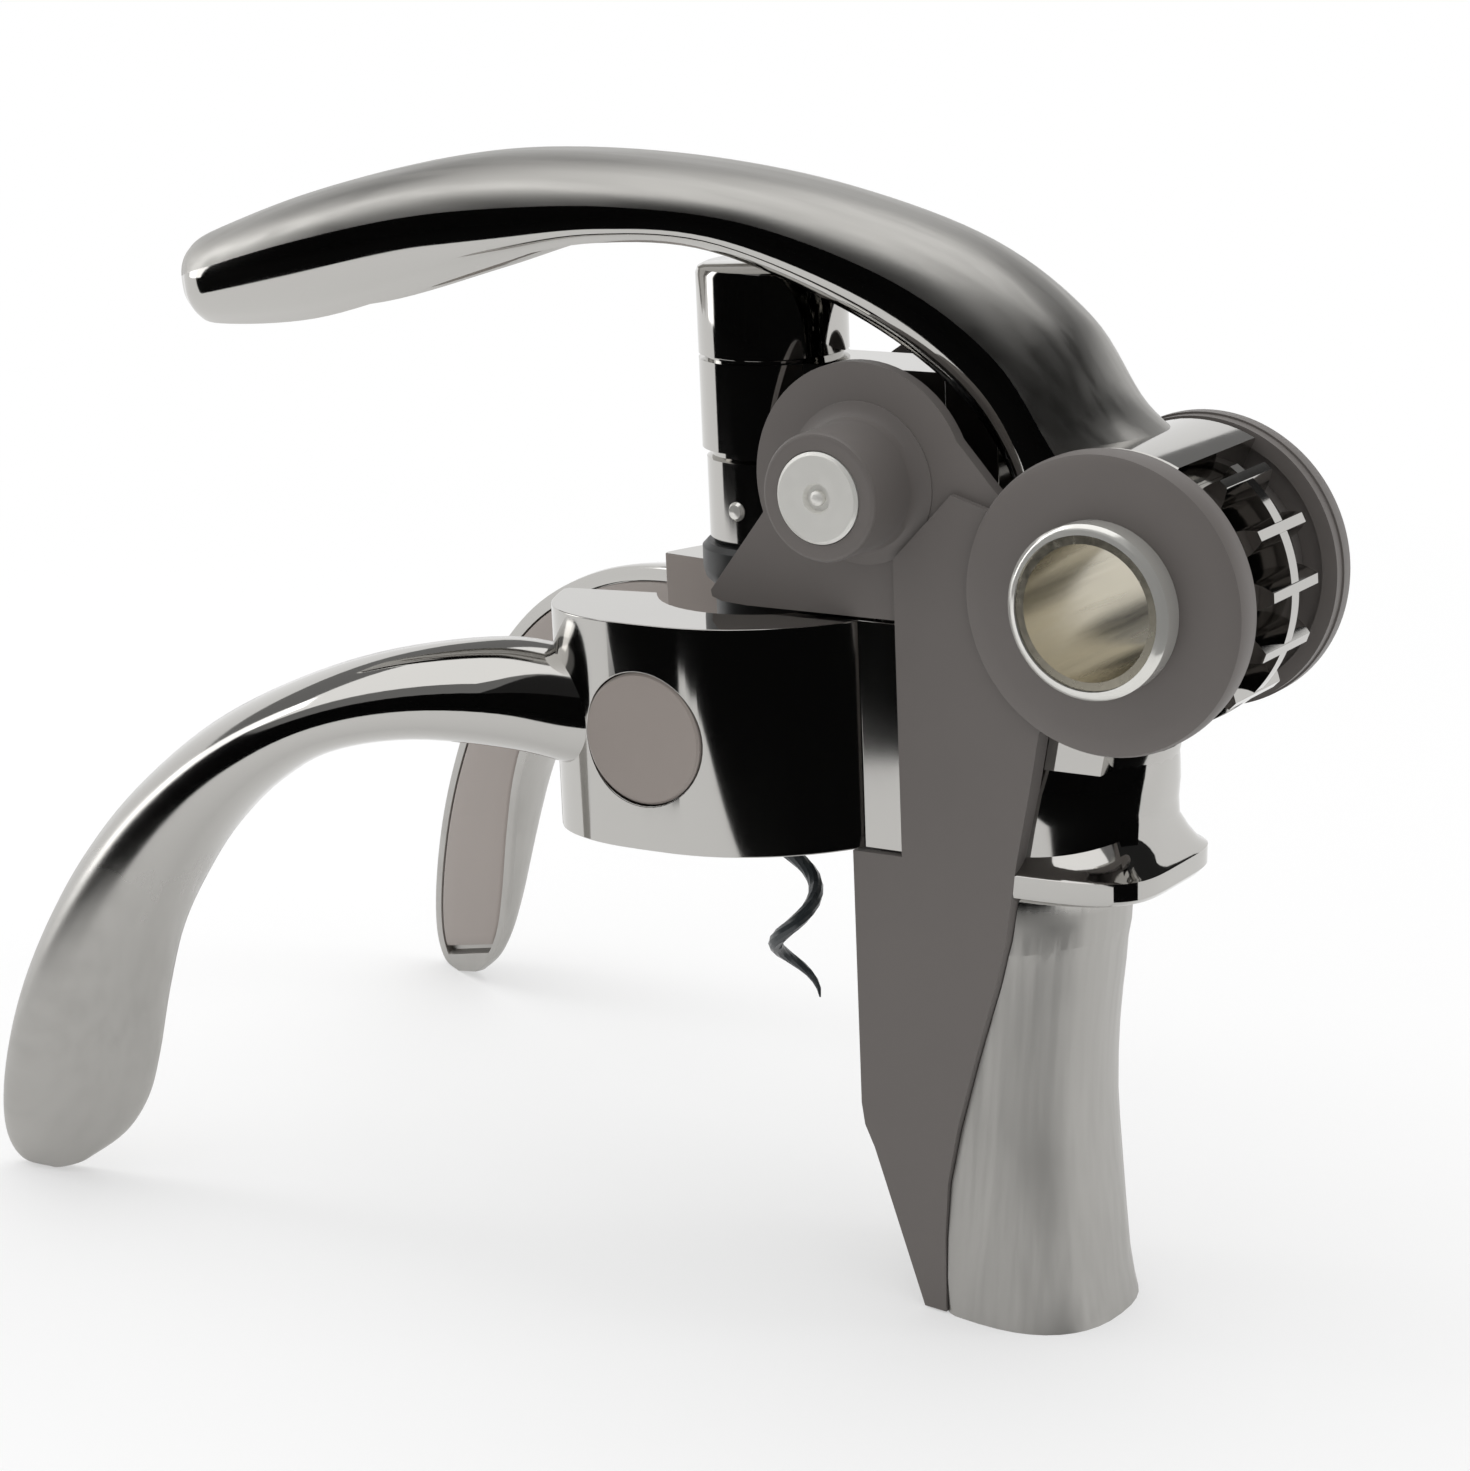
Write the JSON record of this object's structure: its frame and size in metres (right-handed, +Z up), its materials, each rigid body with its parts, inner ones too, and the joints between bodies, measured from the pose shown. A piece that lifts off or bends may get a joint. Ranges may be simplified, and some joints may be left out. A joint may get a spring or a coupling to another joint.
{
  "type": "lever corkscrew",
  "caption": "Lever corkscrew with a geared lever, sliding rack carrier, spinning worm and hinged clamp handles; it grips a bottle neck and draws the cork.",
  "frame": {"origin": "middle of the column's flat foot, on the table", "axes": "+Z up from the table, +X back towards the lever's pivot, -Y the side that faces the viewer; the worm leans forward by the lean angle"},
  "size_m": [0.2053, 0.1264, 0.1699],
  "materials": {
    "dark_chrome": "polished black nickel",
    "soft_grey": "soft-touch matte",
    "soft_pad": "soft-touch matte",
    "bright_nickel": "bright nickel",
    "satin_steel": "satin",
    "black_nylon": "matte moulded",
    "coated_steel": "slick non-stick coat",
    "liner_rubber": "matte"
  },
  "bodies": {
    "frame": {"body_column": "dark_chrome", "side_panel_near": "soft_grey", "side_panel_far": "soft_grey", "pivot_disc_near": "soft_grey", "pivot_disc_far": "soft_grey", "axle_tube": "bright_nickel", "eyelet_ring_near": "bright_nickel", "eyelet_ring_far": "bright_nickel", "guide_axle": "satin_steel", "roller_bushes": "black_nylon", "rivet_cap_near": "bright_nickel", "rivet_cap_far": "bright_nickel", "jaw_hinge_pins": "satin_steel", "worm_nut": "black_nylon", "nut_plate": "satin_steel"},
    "roller": {"guide_roller": "black_nylon"},
    "lever": {"lever_arm": "dark_chrome", "gear_drum": "satin_steel"},
    "carrier": {"rack_bar": "dark_chrome", "carrier_sleeve": "dark_chrome", "carrier_cap": "dark_chrome", "carrier_barrel": "dark_chrome", "barrel_screw": "bright_nickel"},
    "worm_body": {"worm": "coated_steel", "worm_spindle": "satin_steel"},
    "clamp_near": {"jaw_near": "dark_chrome", "handle_near": "dark_chrome", "grip_pad_near": "soft_pad", "jaw_cover_near": "soft_pad", "neck_liner_near": "liner_rubber"},
    "clamp_far": {"jaw_far": "dark_chrome", "handle_far": "dark_chrome", "grip_pad_far": "soft_pad", "jaw_cover_far": "soft_pad", "neck_liner_far": "liner_rubber"}
  },
  "joints": [
    {"name": "lever_turn", "type": "hinge", "parent": "frame", "child": "lever", "pos_m": [0.01289, 0, 0.11765], "axis": [0, 1, 0], "range_deg": [0, 150]},
    {"name": "carrier_rise", "type": "slide", "parent": "frame", "child": "carrier", "axis": [-0.0906, 0, 0.9959], "range_m": [0, 0.0515]},
    {"name": "worm_spin", "type": "hinge", "parent": "carrier", "child": "worm_body", "pos_m": [-0.05234, 0, 0.11172], "axis": [-0.0906, 0, 0.9959], "range_deg": [0, 1025]},
    {"name": "roller_spin", "type": "hinge", "parent": "frame", "child": "roller", "pos_m": [-0.02975, 0, 0.12833], "axis": [0, 1, 0], "range_deg": [-305, 0]},
    {"name": "clamp_near_swing", "type": "hinge", "parent": "frame", "child": "clamp_near", "pos_m": [-0.02467, -0.0105, 0.09014], "axis": [-0.0906, 0, 0.9959], "range_deg": [-12, 0]},
    {"name": "clamp_far_swing", "type": "hinge", "parent": "frame", "child": "clamp_far", "pos_m": [-0.02467, 0.0105, 0.09014], "axis": [-0.0906, 0, 0.9959], "range_deg": [0, 12]}
  ],
  "couplings": [
    {"joint": "carrier_rise", "follows": "lever_turn", "m_per_rad": 0.0195},
    {"joint": "worm_spin", "follows": "lever_turn", "ratio": 6.8068},
    {"joint": "roller_spin", "follows": "lever_turn", "ratio": -2}
  ]
}
